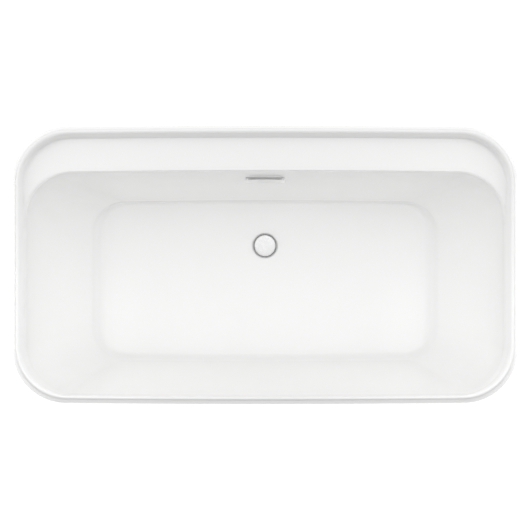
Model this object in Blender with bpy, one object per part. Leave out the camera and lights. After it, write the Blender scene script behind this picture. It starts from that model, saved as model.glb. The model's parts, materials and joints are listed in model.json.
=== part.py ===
"""Freestanding acrylic bathtub: a basin with a rolled rim and a back deck, an outer shell, a
steel frame on levelling feet, a push-to-close drain and a slotted overflow.

Metres. +Z is up, +X runs along the length and +Y points to the back, where the deck is. The
origin lies on the floor, under the middle of the rim's outline.
"""
import math

import bmesh
import bpy
from mathutils import Matrix, Vector

# Overall size
LENGTH = 1.676
WIDTH = 0.924
HEIGHT = 0.584
HALF_LENGTH = LENGTH / 2
HALF_WIDTH = WIDTH / 2
SIDE_BOW = 0.004            # how far the long sides bow outwards at their middle
GAP = 0.0003                # between pieces that touch

# Rim: a steep ridge seen in section, measured inwards from the outline
RIM_RADIUS = 0.178          # corner radius of the outline
RIM_RADIUS_FALL = 0.517     # how much the corner radius drops per metre of inset
RIDGE_INSET = 0.0150
RIDGE_INSET_FRONT = 0.0205
LIP_Z = HEIGHT - 0.036      # lower edge of the lip
LIP_DRAFT = 0.001

# The ridge's outer face: drop below the top, and share of the ridge's inset
OUTER_FACE = ((0.0320, 0.0), (0.0120, 0.45), (0.0035, 0.66), (0.0, 1.0))

# The ridge's inner face: drop below the top, then the insets at the ends, back and front
INNER_FACE = (
    (0.0035, 0.0255, 0.0215, 0.0260),
    (0.0100, 0.0320, 0.0260, 0.0285),
    (0.0200, 0.0375, 0.0300, 0.0298),
    (0.0360, 0.0412, 0.0365, 0.0314),
)

# Back deck and the basin's opening
DECK_Z = HEIGHT - 0.040
DECK_FOOT = 0.0420          # inset of the deck's outer border at the back
DECK_FRONT_Y = 0.312        # the deck's border with the basin
DECK_MARGIN = 0.0010        # how far the deck's two levels step in towards the opening
EDGE_RADIUS = 0.006
OPENING_HALF = 0.7935
OPENING_FRONT = -0.4295
OPENING_RADIUS = 0.157
OPENING_Z = DECK_Z - EDGE_RADIUS

# Crease around the floor
CREASE_HALF = 0.575
CREASE_BACK = 0.216
CREASE_FRONT = -0.324
CREASE_RADIUS = 0.110
CREASE_Z = 0.155
END_SLOPE = 0.40            # 1 is a straight wall, 0 is a parabola that flattens to the floor
SIDE_SLOPE = 0.80
WALL_STEPS = 5

# Floor and drain
FLOOR_EDGE_Z = 0.122
FLOOR_DRAIN_Z = 0.1185
FLOOR_INSET = 0.045
DRAIN_Y = 0.066
RECESS_RADIUS = 0.0432
RECESS_Z = 0.1165
RECESS_EDGE = 0.0015
DRAIN_HOLE_RADIUS = 0.0265
BASIN_THICKNESS = 0.006

# Outer shell
SHELL_THICKNESS = 0.0045
SHELL_TUCK = 0.0085         # inset of the edge tucked up behind the lip
SHELL_TUCK_Z = LIP_Z + 0.005
SHELL_BASE_INSET = 0.052
SHELL_BASE_Z = 0.014
SHELL_BOTTOM_Z = 0.006
SHELL_FLANGE_INSET = 0.085
SHELL_FOOT_ROUND = 0.005
SHELL_BELLY = 1.3           # 1 is a straight side, more bulges it outwards
SHELL_STEPS = 4

# Frame under the floor
BOARD_HALF = 0.500
BOARD_BACK = 0.155
BOARD_FRONT = -0.262
BOARD_RADIUS = 0.050
BOARD_THICKNESS = 0.016
BOARD_TOP_Z = FLOOR_DRAIN_Z - BASIN_THICKNESS - GAP
BOARD_HOLE_RADIUS = 0.062
TUBE = 0.025
TUBE_WALL = 0.002
RAIL_HALF = 0.600
RAIL_YS = (("rail_front", -0.200), ("rail_back", 0.130))
RAIL_Z = BOARD_TOP_Z - BOARD_THICKNESS - GAP - TUBE / 2
CROSS_Z = RAIL_Z - TUBE - GAP
CROSS_XS = (-0.450, -0.170, 0.170, 0.450)
CROSS_FRONT = -0.235
CROSS_BACK = 0.165

# Levelling feet, M12, under the ends of the outer cross rails
FOOT_XS = (CROSS_XS[0], CROSS_XS[-1])
FOOT_YS = (CROSS_FRONT - 0.020, CROSS_BACK + 0.020)
TAB_THICKNESS = 0.004
TAB_TOP_Z = CROSS_Z - TUBE / 2 - GAP
TAB_REACH = 0.020
TAB_OVERLAP = 0.040
STUD_RADIUS = 0.006
STUD_TOP_Z = 0.088
NUT_FLATS = 0.019
NUT_HEIGHT = 0.010
PAD_RADIUS = 0.026
PAD_RIM = 0.007
PAD_NECK_RADIUS = 0.013
PAD_HEIGHT = 0.018
STUD_LOW_Z = 0.008

# Brackets that hold the outer shell to the inner cross rails
BRACKET_XS = (CROSS_XS[1], CROSS_XS[2])
BRACKET_WIDTH = 0.030
BRACKET_THICKNESS = 0.003
BRACKET_DROP_Y = 0.362
BRACKET_TIP_Y = 0.398
BRACKET_START_BACK = 0.100
BRACKET_START_FRONT = 0.170
BRACKET_SCREW_Y = 0.382
SCREW_RADIUS = 0.0020
SCREW_HEAD_RADIUS = 0.0045
SCREW_HEAD_HEIGHT = 0.003
SCREW_HOLE_RADIUS = 0.0026

# Drain: a flange screwed down through the floor, and a stopper that lifts out of it
SEAL_THICKNESS = 0.0012
SEAL_RADIUS = 0.036
FLANGE_RADIUS = 0.0415
FLANGE_LOW_Z = RECESS_Z + SEAL_THICKNESS + 2 * GAP
FLANGE_HEIGHT = 0.0032
FLANGE_BORE = 0.0195
THREAD_RADIUS = 0.0225
THREAD_END_Z = 0.080
SPIDER_Z = (0.098, 0.104)
SPIDER_WEB = 0.003
HUB_Z = (0.096, 0.108)
HUB_RADIUS = 0.008
GUIDE_RADIUS = 0.0048
GASKET_RADIUS = 0.033
GASKET_THICKNESS = 0.003
CAP_LOW_Z = FLANGE_LOW_Z + 0.0042
CAP_RADIUS = 0.0365
CAP_HEIGHT = 0.0065
CAP_SEAL_RADII = (0.027, 0.033)
CAP_SEAL_HEIGHT = 0.0018
STEM_RADIUS = 0.0043
STEM_LOW_Z = 0.088
STEM_SHOULDER_RADIUS = 0.009
STEM_SHOULDER_Z = 0.1095

# Pipework
PIPE_RADIUS = 0.0175
PIPE_BORE = 0.0145
SOCKET_RADIUS = 0.022
SOCKET_BORE = PIPE_RADIUS + GAP
WASTE_Z = 0.040
PIPE_INSERT = 0.014         # how far a pipe reaches into a socket
SHOE_BEND = 0.034
SHOE_FLANGE = (0.033, 0.006)
SHOE_BODY_RADIUS = 0.029
SHOE_BEND_RADII = (0.024, 0.0185)
SHOE_BENDS = 4
SHOE_END_Y = 0.122
OVERFLOW_PIPE_Y = 0.317
TEE_REACH = 0.034
OUTLET_END_Y = 0.392
SLIP_NUT_RADIUS = 0.027
SLIP_NUT_LENGTH = 0.014
SLIP_NUT_CHAMFER = (0.004, 0.003)

# Overflow, in the frame of the back wall: across, up the wall, out of the wall
OVERFLOW_Z = 0.430
TRIM_SIZE = (0.130, 0.034, 0.010)
TRIM_WALL = 0.0025
SLOT_SIZE = (0.114, 0.0034)
SLOT_MIDDLE = 0.0048         # from the wall
WALL_HOLE = (0.070, 0.018)
OVERFLOW_SCREW_X = 0.043
OVERFLOW_SCREW_HEAD = (0.0038, 0.0022)
OVERFLOW_SCREW_DEPTH = 0.009
RETAINER_SIZE = (0.098, 0.026)
RETAINER_THICKNESS = 0.0020
OVERFLOW_BOX = (0.096, 0.034, 0.046)
NECK_RADIUS = 0.0205
NECK_Z = (OVERFLOW_Z - 0.048, OVERFLOW_Z - 0.016)
NECK_SOCKET = 0.019

# Points around a shell's outline and around a hole
ARC_STEPS = 7
LONG_STEPS = 11
END_STEPS = 3
HOLE_STEPS = 12
PIPE_STEPS = 16
BODY_STEPS = 18


def clear_scene():
    for obj in list(bpy.data.objects):
        bpy.data.objects.remove(obj, do_unlink=True)


def material(name, colour, roughness, metallic=0.0):
    mat = bpy.data.materials.new(name)
    mat.use_nodes = True
    shader = mat.node_tree.nodes["Principled BSDF"]
    shader.inputs["Base Color"].default_value = (*colour, 1.0)
    shader.inputs["Roughness"].default_value = roughness
    shader.inputs["Metallic"].default_value = metallic
    return mat


def add_object(name, bm, mat, smooth=True):
    """Turns a bmesh into a named object, with its sharp edges kept sharp."""
    bmesh.ops.recalc_face_normals(bm, faces=bm.faces)
    if bm.calc_volume(signed=True) < 0:
        bmesh.ops.reverse_faces(bm, faces=bm.faces)
    mesh = bpy.data.meshes.new(name)
    bm.to_mesh(mesh)
    bm.free()
    obj = bpy.data.objects.new(name, mesh)
    bpy.context.scene.collection.objects.link(obj)
    obj.data.materials.append(mat)
    if smooth:
        mesh.shade_smooth()
        mesh.set_sharp_from_angle(angle=math.radians(35))
    return obj


def place(obj, location=(0.0, 0.0, 0.0), parent=None):
    obj.location = location
    obj.parent = parent
    return obj


def axis_empty(name, location):
    empty = bpy.data.objects.new(name, None)
    empty.location = location
    bpy.context.scene.collection.objects.link(empty)
    return empty


def bridge(bm, rings, closed):
    """Joins rings of points one after another, and the last to the first when closed."""
    loops = [[bm.verts.new(point) for point in ring] for ring in rings]
    pairs = list(zip(loops, loops[1:]))
    if closed:
        pairs.append((loops[-1], loops[0]))
    for lower, upper in pairs:
        for i in range(len(lower)):
            j = (i + 1) % len(lower)
            bm.faces.new((lower[i], lower[j], upper[j], upper[i]))
    return loops


def lofted(name, rings, mat, closed=True, capped=False, smooth=True):
    bm = bmesh.new()
    loops = bridge(bm, rings, closed)
    if capped:
        bm.faces.new(reversed(loops[0]))
        bm.faces.new(loops[-1])
    return add_object(name, bm, mat, smooth)


def sheet(name, rings, mat, thickness):
    """A lofted skin, thickened away from the side that its faces look to."""
    bm = bmesh.new()
    bridge(bm, rings, closed=False)
    mesh = bpy.data.meshes.new(name)
    bm.to_mesh(mesh)
    bm.free()
    mesh.shade_smooth()
    mesh.set_sharp_from_angle(angle=math.radians(35))
    obj = bpy.data.objects.new(name, mesh)
    bpy.context.scene.collection.objects.link(obj)
    obj.data.materials.append(mat)
    solidify = obj.modifiers.new("thickness", "SOLIDIFY")
    solidify.thickness = thickness
    solidify.offset = -1.0
    solidify.use_even_offset = True
    return obj


def turned(name, profile, mat, steps=24, closed=True, turn=None):
    """Spins a profile of (radius, height) points about Z. A closed profile is a ring; an open
    one runs from the axis to the axis. turn is a matrix applied afterwards."""
    bm = bmesh.new()
    verts = [bm.verts.new((radius, 0.0, height)) for radius, height in profile]
    edges = [bm.edges.new(pair) for pair in zip(verts, verts[1:])]
    if closed:
        edges.append(bm.edges.new((verts[-1], verts[0])))
    bmesh.ops.spin(bm, geom=verts + edges, axis=(0, 0, 1), cent=(0, 0, 0),
                   angle=2 * math.pi, steps=steps)
    bmesh.ops.remove_doubles(bm, verts=bm.verts, dist=1e-6)
    if turn is not None:
        bm.transform(turn)
    return add_object(name, bm, mat)


def washer(name, outer, bore, low, high, mat):
    return turned(name, ((bore, low), (outer, low), (outer, high), (bore, high)), mat)


def rod(name, radius, low, high, mat, steps=HOLE_STEPS, turn=None):
    """A plain cylinder about Z, mostly used to cut a hole."""
    profile = ((0, low), (radius, low), (radius, high), (0, high))
    return turned(name, profile, mat, steps, closed=False, turn=turn)


def box(name, low, high, mat, turn=None):
    bm = bmesh.new()
    bmesh.ops.create_cube(bm, size=1.0)
    size = [b - a for a, b in zip(low, high)]
    middle = [(a + b) / 2 for a, b in zip(low, high)]
    bm.transform(Matrix.Translation(middle) @ Matrix.Diagonal((*size, 1.0)))
    if turn is not None:
        bm.transform(turn)
    return add_object(name, bm, mat, smooth=False)


def cut(target, tool, operation="DIFFERENCE"):
    """Applies a helper solid to a piece as a Boolean, and keeps the helper out of the build."""
    tool.hide_render = True
    tool.display_type = "WIRE"
    modifier = target.modifiers.new(tool.name, "BOOLEAN")
    modifier.operation = operation
    modifier.solver = "EXACT"
    modifier.object = tool


def outline(half, back, front, radius, z, bow=SIDE_BOW):
    """One level of a shell, anticlockwise from the middle of the +X end's back corner."""
    straight = half - radius
    back_centre = back - bow - radius
    front_centre = front + bow + radius
    points = []

    def corner(x, y, start):
        for step in range(ARC_STEPS + 1):
            angle = math.radians(start + 90 * step / ARC_STEPS)
            points.append(Vector((x + radius * math.cos(angle), y + radius * math.sin(angle), z)))

    def long_side(middle, side):
        for step in range(1, LONG_STEPS):
            part = 1 - 2 * step / LONG_STEPS
            points.append(Vector((side * straight * part, middle - side * bow * part ** 2, z)))

    def end(side):
        for step in range(1, END_STEPS):
            part = step / END_STEPS
            part = part if side < 0 else 1 - part
            y = back_centre + (front_centre - back_centre) * part
            points.append(Vector((side * half, y, z)))

    corner(straight, back_centre, 0)
    long_side(back, 1)
    corner(-straight, back_centre, 90)
    end(-1)
    corner(-straight, front_centre, 180)
    long_side(front, -1)
    corner(straight, front_centre, 270)
    end(1)
    return points


def rim_level(inset, z, back=None, front=None):
    """A level set in from the rim's outline, by other amounts at the back and front if given."""
    back = inset if back is None else back
    front = inset if front is None else front
    radius = RIM_RADIUS - RIM_RADIUS_FALL * inset
    return outline(HALF_LENGTH - inset, HALF_WIDTH - back, front - HALF_WIDTH, radius, z)


def wall_level(part):
    """A level of the basin's wall: part runs from 0 at the opening to 1 at the crease."""
    def blend(start, end, slope):
        return start + (end - start) * (slope * part + (1 - slope) * part ** 2)

    return (blend(OPENING_HALF, CREASE_HALF, END_SLOPE),
            blend(DECK_FRONT_Y, CREASE_BACK, SIDE_SLOPE),
            blend(OPENING_FRONT, CREASE_FRONT, SIDE_SLOPE),
            OPENING_RADIUS + (CREASE_RADIUS - OPENING_RADIUS) * part,
            OPENING_Z + (CREASE_Z - OPENING_Z) * part)


def crease_level(inset, z):
    return outline(CREASE_HALF - inset, CREASE_BACK - inset, CREASE_FRONT + inset,
                   CREASE_RADIUS - 0.75 * inset, z)


def drain_circle(ring, radius, z):
    """A circle about the drain, with a point towards each point of a ring."""
    angles = [math.atan2(point.y - DRAIN_Y, point.x) for point in ring]
    return [Vector((radius * math.cos(a), DRAIN_Y + radius * math.sin(a), z)) for a in angles]


def overflow_matrix():
    """The frame of the back wall's flat strip that holds the overflow."""
    strip = 0
    while wall_level((strip + 1) / WALL_STEPS)[4] > OVERFLOW_Z:
        strip += 1
    upper = wall_level(strip / WALL_STEPS)
    lower = wall_level((strip + 1) / WALL_STEPS)
    up = Vector((0.0, upper[1] - lower[1], upper[4] - lower[4])).normalized()
    across = Vector((1.0, 0.0, 0.0))
    out = across.cross(up)
    part = (OVERFLOW_Z - lower[4]) / (upper[4] - lower[4])
    centre = Vector((0.0, lower[1] + (upper[1] - lower[1]) * part, OVERFLOW_Z))
    rotation = Matrix((across, up, out)).transposed().to_4x4()
    return Matrix.Translation(centre) @ rotation


# Shells

def rim_rings():
    """The lip, the outer face, the ridge, its inner face and the deck."""
    rings = [rim_level(LIP_DRAFT, LIP_Z)]
    for drop, share in OUTER_FACE:
        rings.append(rim_level(RIDGE_INSET * share, HEIGHT - drop, front=RIDGE_INSET_FRONT * share))
    for drop, end, back, front in INNER_FACE:
        rings.append(rim_level(end, HEIGHT - drop, back, front))
    foot_radius = RIM_RADIUS - RIM_RADIUS_FALL * DECK_FOOT
    rings.append(outline(OPENING_HALF + 2 * DECK_MARGIN, HALF_WIDTH - DECK_FOOT,
                         OPENING_FRONT - 0.5 * DECK_MARGIN, foot_radius, DECK_Z))
    rings.append(outline(OPENING_HALF + DECK_MARGIN, DECK_FRONT_Y + EDGE_RADIUS,
                         OPENING_FRONT - 0.25 * DECK_MARGIN, OPENING_RADIUS, DECK_Z))
    return rings


def floor_rings():
    """The step under the crease, the floor, and the drain's recess and hole."""
    floor_edge = crease_level(FLOOR_INSET, FLOOR_EDGE_Z)
    return [crease_level(0.2 * FLOOR_INSET, CREASE_Z - 0.5 * (CREASE_Z - FLOOR_EDGE_Z)),
            crease_level(0.5 * FLOOR_INSET, CREASE_Z - 0.85 * (CREASE_Z - FLOOR_EDGE_Z)),
            floor_edge,
            drain_circle(floor_edge, RECESS_RADIUS + RECESS_EDGE, FLOOR_DRAIN_Z),
            drain_circle(floor_edge, RECESS_RADIUS, RECESS_Z),
            drain_circle(floor_edge, DRAIN_HOLE_RADIUS, RECESS_Z)]


def make_basin(mat, wall_frame):
    walls = [outline(*wall_level(step / WALL_STEPS)) for step in range(WALL_STEPS + 1)]
    basin = sheet("basin", rim_rings() + walls + floor_rings(), mat, BASIN_THICKNESS)
    depth = 3 * BASIN_THICKNESS
    across, up = WALL_HOLE[0] / 2, WALL_HOLE[1] / 2
    cut(basin, box("cut_wall_hole", (-across, -up, -depth), (across, up, depth), mat, wall_frame))
    for side in (-1, 1):
        turn = wall_frame @ Matrix.Translation((side * OVERFLOW_SCREW_X, 0, 0))
        cut(basin, rod(f"cut_wall_screw_{side}", SCREW_HOLE_RADIUS, -depth, depth, mat, turn=turn))


def make_outer_shell(mat):
    rings = [rim_level(SHELL_FLANGE_INSET, SHELL_BOTTOM_Z),
             rim_level(SHELL_BASE_INSET + SHELL_FOOT_ROUND, SHELL_BOTTOM_Z),
             rim_level(SHELL_BASE_INSET, SHELL_BASE_Z)]
    ledge_z = LIP_Z - 2 * GAP
    for step in range(SHELL_STEPS - 1, -1, -1):
        part = step / SHELL_STEPS
        rings.append(rim_level(LIP_DRAFT + (SHELL_BASE_INSET - LIP_DRAFT) * part ** SHELL_BELLY,
                               ledge_z + (SHELL_BASE_Z - ledge_z) * part))
    rings.append(rim_level(SHELL_TUCK, ledge_z))
    rings.append(rim_level(SHELL_TUCK, SHELL_TUCK_Z))
    shell = sheet("outer_shell", rings, mat, SHELL_THICKNESS)
    for number, (x, y) in enumerate(bracket_screws(), 1):
        hole = rod(f"cut_flange_{number}", SCREW_HOLE_RADIUS, 0.0, 3 * SHELL_BOTTOM_Z, mat)
        cut(shell, place(hole, (x, y, 0.0)))


# Frame

def make_board(mat):
    low, high = BOARD_TOP_Z - BOARD_THICKNESS, BOARD_TOP_Z
    edge = [outline(BOARD_HALF, BOARD_BACK, BOARD_FRONT, BOARD_RADIUS, z) for z in (low, high)]
    hole = [drain_circle(edge[0], BOARD_HOLE_RADIUS, z) for z in (high, low)]
    lofted("floor_board", edge + hole, mat)


def square(size):
    half = size / 2
    return ((half, half), (-half, half), (-half, -half), (half, -half))


def make_tube(name, start, end, mat):
    """A square tube along X or Y, open at both ends."""
    direction = (end - start).normalized()
    side = direction.cross(Vector((0, 0, 1)))
    up = Vector((0, 0, 1))

    def ring(at, size):
        return [at + side * a + up * b for a, b in square(size)]

    bore = TUBE - 2 * TUBE_WALL
    lofted(name, [ring(start, TUBE), ring(end, TUBE), ring(end, bore), ring(start, bore)], mat,
           smooth=False)


def make_rails(mat):
    for name, y in RAIL_YS:
        make_tube(name, Vector((-RAIL_HALF, y, RAIL_Z)), Vector((RAIL_HALF, y, RAIL_Z)), mat)
    for number, x in enumerate(CROSS_XS, 1):
        make_tube(f"cross_rail_{number}", Vector((x, CROSS_FRONT, CROSS_Z)),
                  Vector((x, CROSS_BACK, CROSS_Z)), mat)


def hexagon(flats, z):
    """A hexagon with a point at each corner and at the middle of each side."""
    points = []
    for step in range(12):
        angle = math.radians(30 * step)
        radius = flats / 2 if step % 2 == 0 else flats / 2 / math.cos(math.radians(30))
        points.append(Vector((radius * math.cos(angle), radius * math.sin(angle), z)))
    return points


def hex_nut(name, low, mat, location):
    bore = STUD_RADIUS + GAP

    def circle(z):
        return [Vector((bore * math.cos(math.radians(30 * i)), bore * math.sin(math.radians(30 * i)), z))
                for i in range(12)]

    high = low + NUT_HEIGHT
    nut = lofted(name, [hexagon(NUT_FLATS, low), hexagon(NUT_FLATS, high), circle(high), circle(low)],
                 mat, smooth=False)
    place(nut, location)


def make_foot_tab(name, x, y, mat):
    """A flat plate under a cross rail's end, with the hole that the stud passes through."""
    inward = -1 if y > 0 else 1
    ys = sorted((y - inward * TAB_REACH, y + inward * TAB_OVERLAP))
    tab = box(name, (-BRACKET_WIDTH / 2, ys[0] - y, TAB_TOP_Z - TAB_THICKNESS),
              (BRACKET_WIDTH / 2, ys[1] - y, TAB_TOP_Z), mat)
    hole = rod(f"cut_{name}", STUD_RADIUS + 2 * GAP, 0.0, 2 * TAB_TOP_Z, mat, PIPE_STEPS)
    cut(tab, place(hole, (x, y, 0.0)))
    place(tab, (x, y, 0.0))


def make_feet(steel, zinc, rubber):
    number = 0
    for y in FOOT_YS:
        for x in FOOT_XS:
            number += 1
            make_foot_tab(f"foot_tab_{number}", x, y, steel)
            hex_nut(f"foot_weld_nut_{number}", TAB_TOP_Z + GAP, zinc, (x, y, 0.0))
            hex_nut(f"foot_jam_nut_{number}", TAB_TOP_Z - TAB_THICKNESS - GAP - NUT_HEIGHT, zinc,
                    (x, y, 0.0))
            axis = axis_empty(f"foot_{number}", (x, y, 0.0))
            place(make_stud(f"foot_stud_{number}", zinc), parent=axis)
            place(make_pad(f"foot_pad_{number}", rubber), parent=axis)


def make_stud(name, mat):
    tip = 0.001
    profile = ((0, STUD_LOW_Z), (STUD_RADIUS, STUD_LOW_Z), (STUD_RADIUS, STUD_TOP_Z - tip),
               (STUD_RADIUS - tip, STUD_TOP_Z), (0, STUD_TOP_Z))
    return turned(name, profile, mat, PIPE_STEPS, closed=False)


def make_pad(name, mat):
    """A round pad with a neck that the stud is pressed into."""
    edge = 0.002
    socket = STUD_RADIUS + GAP
    socket_z = STUD_LOW_Z - GAP
    profile = ((0, 0), (PAD_RADIUS - edge, 0), (PAD_RADIUS, edge), (PAD_RADIUS, PAD_RIM),
               (PAD_NECK_RADIUS, PAD_RIM + 2 * edge), (PAD_NECK_RADIUS - edge, PAD_HEIGHT),
               (socket, PAD_HEIGHT), (socket, socket_z), (0, socket_z))
    return turned(name, profile, mat, PIPE_STEPS, closed=False)


def bracket_screws():
    return [(x, side * BRACKET_SCREW_Y) for side in (-1, 1) for x in BRACKET_XS]


def make_brackets(steel, zinc):
    """Bent straps from the inner cross rails to the outer shell's bottom flange."""
    top = TAB_TOP_Z
    foot = SHELL_BOTTOM_Z + SHELL_THICKNESS + GAP
    t = BRACKET_THICKNESS
    for number, (x, y) in enumerate(bracket_screws(), 1):
        side = math.copysign(1, y)
        start = BRACKET_START_BACK if side > 0 else BRACKET_START_FRONT
        profile = ((start, top - t), (start, top), (BRACKET_DROP_Y + t, top),
                   (BRACKET_DROP_Y + t, foot + t), (BRACKET_TIP_Y, foot + t), (BRACKET_TIP_Y, foot),
                   (BRACKET_DROP_Y, foot), (BRACKET_DROP_Y, top - t))
        rings = [[Vector((x + end * BRACKET_WIDTH / 2, side * py, z)) for py, z in profile]
                 for end in (-1, 1)]
        bracket = lofted(f"shell_bracket_{number}", rings, steel, closed=False, capped=True,
                         smooth=False)
        hole = rod(f"cut_bracket_{number}", SCREW_HOLE_RADIUS, 0.0, 2 * foot, steel)
        cut(bracket, place(hole, (x, y, 0.0)))
        place(make_shell_screw(f"shell_screw_{number}", foot + t + GAP, zinc), (x, y, 0.0))


def make_shell_screw(name, head_z, mat):
    low, top = SHELL_BOTTOM_Z + 0.001, head_z + SCREW_HEAD_HEIGHT
    profile = ((0, low), (SCREW_RADIUS, low), (SCREW_RADIUS, head_z), (SCREW_HEAD_RADIUS, head_z),
               (SCREW_HEAD_RADIUS, head_z + 0.6 * SCREW_HEAD_HEIGHT), (0.6 * SCREW_HEAD_RADIUS, top),
               (0, top))
    return turned(name, profile, mat, HOLE_STEPS, closed=False)


# Drain

def make_flange(mat, at):
    """The drain's dished ring and threaded tail, with a cross of webs and a guide for the stem."""
    low, high = FLANGE_LOW_Z, FLANGE_LOW_Z + FLANGE_HEIGHT
    profile = ((FLANGE_RADIUS, low), (FLANGE_RADIUS, low + 0.0017), (FLANGE_RADIUS - 0.0015, high),
               (FLANGE_RADIUS - 0.0045, high), (FLANGE_RADIUS - 0.0070, low + 0.0017),
               (THREAD_RADIUS + 0.001, low + 0.0012), (FLANGE_BORE, low - 0.0013),
               (FLANGE_BORE, THREAD_END_Z), (THREAD_RADIUS, THREAD_END_Z), (THREAD_RADIUS, low))
    flange = turned("drain_flange", profile, mat, 28)
    place(flange, at)
    reach = FLANGE_BORE + 0.001
    for number, degrees in enumerate((0, 90), 1):
        web = box(f"union_web_{number}", (-reach, -SPIDER_WEB / 2, SPIDER_Z[0]),
                  (reach, SPIDER_WEB / 2, SPIDER_Z[1]), mat,
                  Matrix.Rotation(math.radians(degrees), 4, "Z"))
        cut(flange, place(web, at), "UNION")
    hub = rod("union_hub", HUB_RADIUS, *HUB_Z, mat, PIPE_STEPS)
    cut(flange, place(hub, at), "UNION")
    guide = rod("cut_guide", GUIDE_RADIUS, HUB_Z[0] - HUB_RADIUS, HUB_Z[1] + HUB_RADIUS, mat, PIPE_STEPS)
    cut(flange, place(guide, at))


def make_stopper(chrome, brass, rubber, at):
    """The cap with its sealing ring and stem, which lift together."""
    lift = axis_empty("stopper", at)
    low = CAP_LOW_Z
    cap = turned("stopper_cap",
                 ((0, low + CAP_HEIGHT), (0.018, low + 0.0062), (0.031, low + 0.0050),
                  (CAP_RADIUS - 0.0013, low + 0.0036), (CAP_RADIUS, low + 0.0020),
                  (CAP_RADIUS - 0.0004, low), (0, low)), chrome, 28, closed=False)
    place(cap, parent=lift)
    ring_high = low - GAP
    ring = washer("stopper_seal", CAP_SEAL_RADII[1], CAP_SEAL_RADII[0], ring_high - CAP_SEAL_HEIGHT,
                  ring_high, rubber)
    place(ring, parent=lift)
    profile = ((0, STEM_LOW_Z), (STEM_RADIUS, STEM_LOW_Z), (STEM_RADIUS, STEM_SHOULDER_Z),
               (STEM_SHOULDER_RADIUS, STEM_SHOULDER_Z), (STEM_SHOULDER_RADIUS, ring_high),
               (0, ring_high))
    stem = turned("stopper_stem", profile, brass, PIPE_STEPS, closed=False)
    place(stem, parent=lift)


def make_drain(chrome, brass, rubber):
    at = (0.0, DRAIN_Y, 0.0)
    seal_low = RECESS_Z + GAP
    seal = washer("drain_seal", SEAL_RADIUS, DRAIN_HOLE_RADIUS + 0.001, seal_low,
                  seal_low + SEAL_THICKNESS, rubber)
    place(seal, at)
    make_flange(chrome, at)
    gasket_high = RECESS_Z - BASIN_THICKNESS - GAP
    gasket_low = gasket_high - GASKET_THICKNESS
    gasket = washer("drain_gasket", GASKET_RADIUS, THREAD_RADIUS + GAP, gasket_low, gasket_high, rubber)
    place(gasket, at)
    make_shoe(gasket_low - GAP, THREAD_RADIUS + 3 * GAP, brass)
    make_stopper(chrome, brass, rubber, at)


def swept_tube(name, stations, mat):
    """A pipe in the plane x = 0. Each station is (y, z, outer radius, bore radius)."""
    turns = [2 * math.pi * step / PIPE_STEPS for step in range(PIPE_STEPS)]
    outer, bore = [], []
    for index, (y, z, radius, hollow) in enumerate(stations):
        before = stations[max(index - 1, 0)]
        after = stations[min(index + 1, len(stations) - 1)]
        along = Vector((0.0, after[0] - before[0], after[1] - before[1])).normalized()
        side = Vector((1.0, 0.0, 0.0))
        up = along.cross(side)
        for ring, size in ((outer, radius), (bore, hollow)):
            ring.append([Vector((0.0, y, z)) + side * size * math.cos(turn)
                         + up * size * math.sin(turn) for turn in turns])
    return lofted(name, outer + bore[::-1], mat)


def make_shoe(top, bore, mat):
    """The elbow screwed to the drain flange: down from the floor, then back to the tee."""
    bend_z = WASTE_Z + SHOE_BEND
    rim, thickness = SHOE_FLANGE
    stations = [(DRAIN_Y, top, rim, bore), (DRAIN_Y, top - thickness, rim, bore),
                (DRAIN_Y, top - thickness - 0.0005, SHOE_BODY_RADIUS, bore),
                (DRAIN_Y, bend_z + 0.004, SHOE_BODY_RADIUS, bore)]
    for step in range(SHOE_BENDS + 1):
        angle = math.radians(90 * step / SHOE_BENDS)
        stations.append((DRAIN_Y + SHOE_BEND * (1 - math.cos(angle)),
                         bend_z - SHOE_BEND * math.sin(angle), *SHOE_BEND_RADII))
    stations += [(SHOE_END_Y - 0.020, WASTE_Z, SOCKET_RADIUS, SOCKET_BORE),
                 (SHOE_END_Y, WASTE_Z, SOCKET_RADIUS, SOCKET_BORE)]
    swept_tube("drain_shoe", stations, mat)


def along_y(y, z):
    """Turns a piece made about Z so that it lies about a line along +Y."""
    return Matrix.Translation((0.0, y, z)) @ Matrix.Rotation(math.radians(-90), 4, "X")


# Pipework

def make_pipe(name, start, end, mat):
    stations = [(y, z, PIPE_RADIUS, PIPE_BORE) for y, z in (start, end)]
    swept_tube(name, stations, mat)


def slip_nut(name, turn, mat):
    bore = PIPE_RADIUS + GAP
    inwards, back = SLIP_NUT_CHAMFER
    profile = ((bore, 0), (SLIP_NUT_RADIUS, 0), (SLIP_NUT_RADIUS, SLIP_NUT_LENGTH - back),
               (SLIP_NUT_RADIUS - inwards, SLIP_NUT_LENGTH), (bore, SLIP_NUT_LENGTH))
    turned(name, profile, mat, PIPE_STEPS, turn=turn)


def make_tee(mat):
    """A tee with its run along Y and its branch up to the overflow."""
    reach = TEE_REACH
    at = (0.0, OVERFLOW_PIPE_Y, WASTE_Z)
    lying = along_y(OVERFLOW_PIPE_Y, WASTE_Z)
    tee = rod("waste_tee", SOCKET_RADIUS, -reach, reach, mat, BODY_STEPS, lying)
    branch = rod("union_branch", SOCKET_RADIUS - GAP, 0, reach, mat, BODY_STEPS)
    cut(tee, place(branch, at), "UNION")
    cut(tee, rod("cut_run", SOCKET_BORE, -2 * reach, 2 * reach, mat, BODY_STEPS, lying))
    bore = rod("cut_branch", SOCKET_BORE, 0, 2 * reach, mat, BODY_STEPS)
    cut(tee, place(bore, at))


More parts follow.
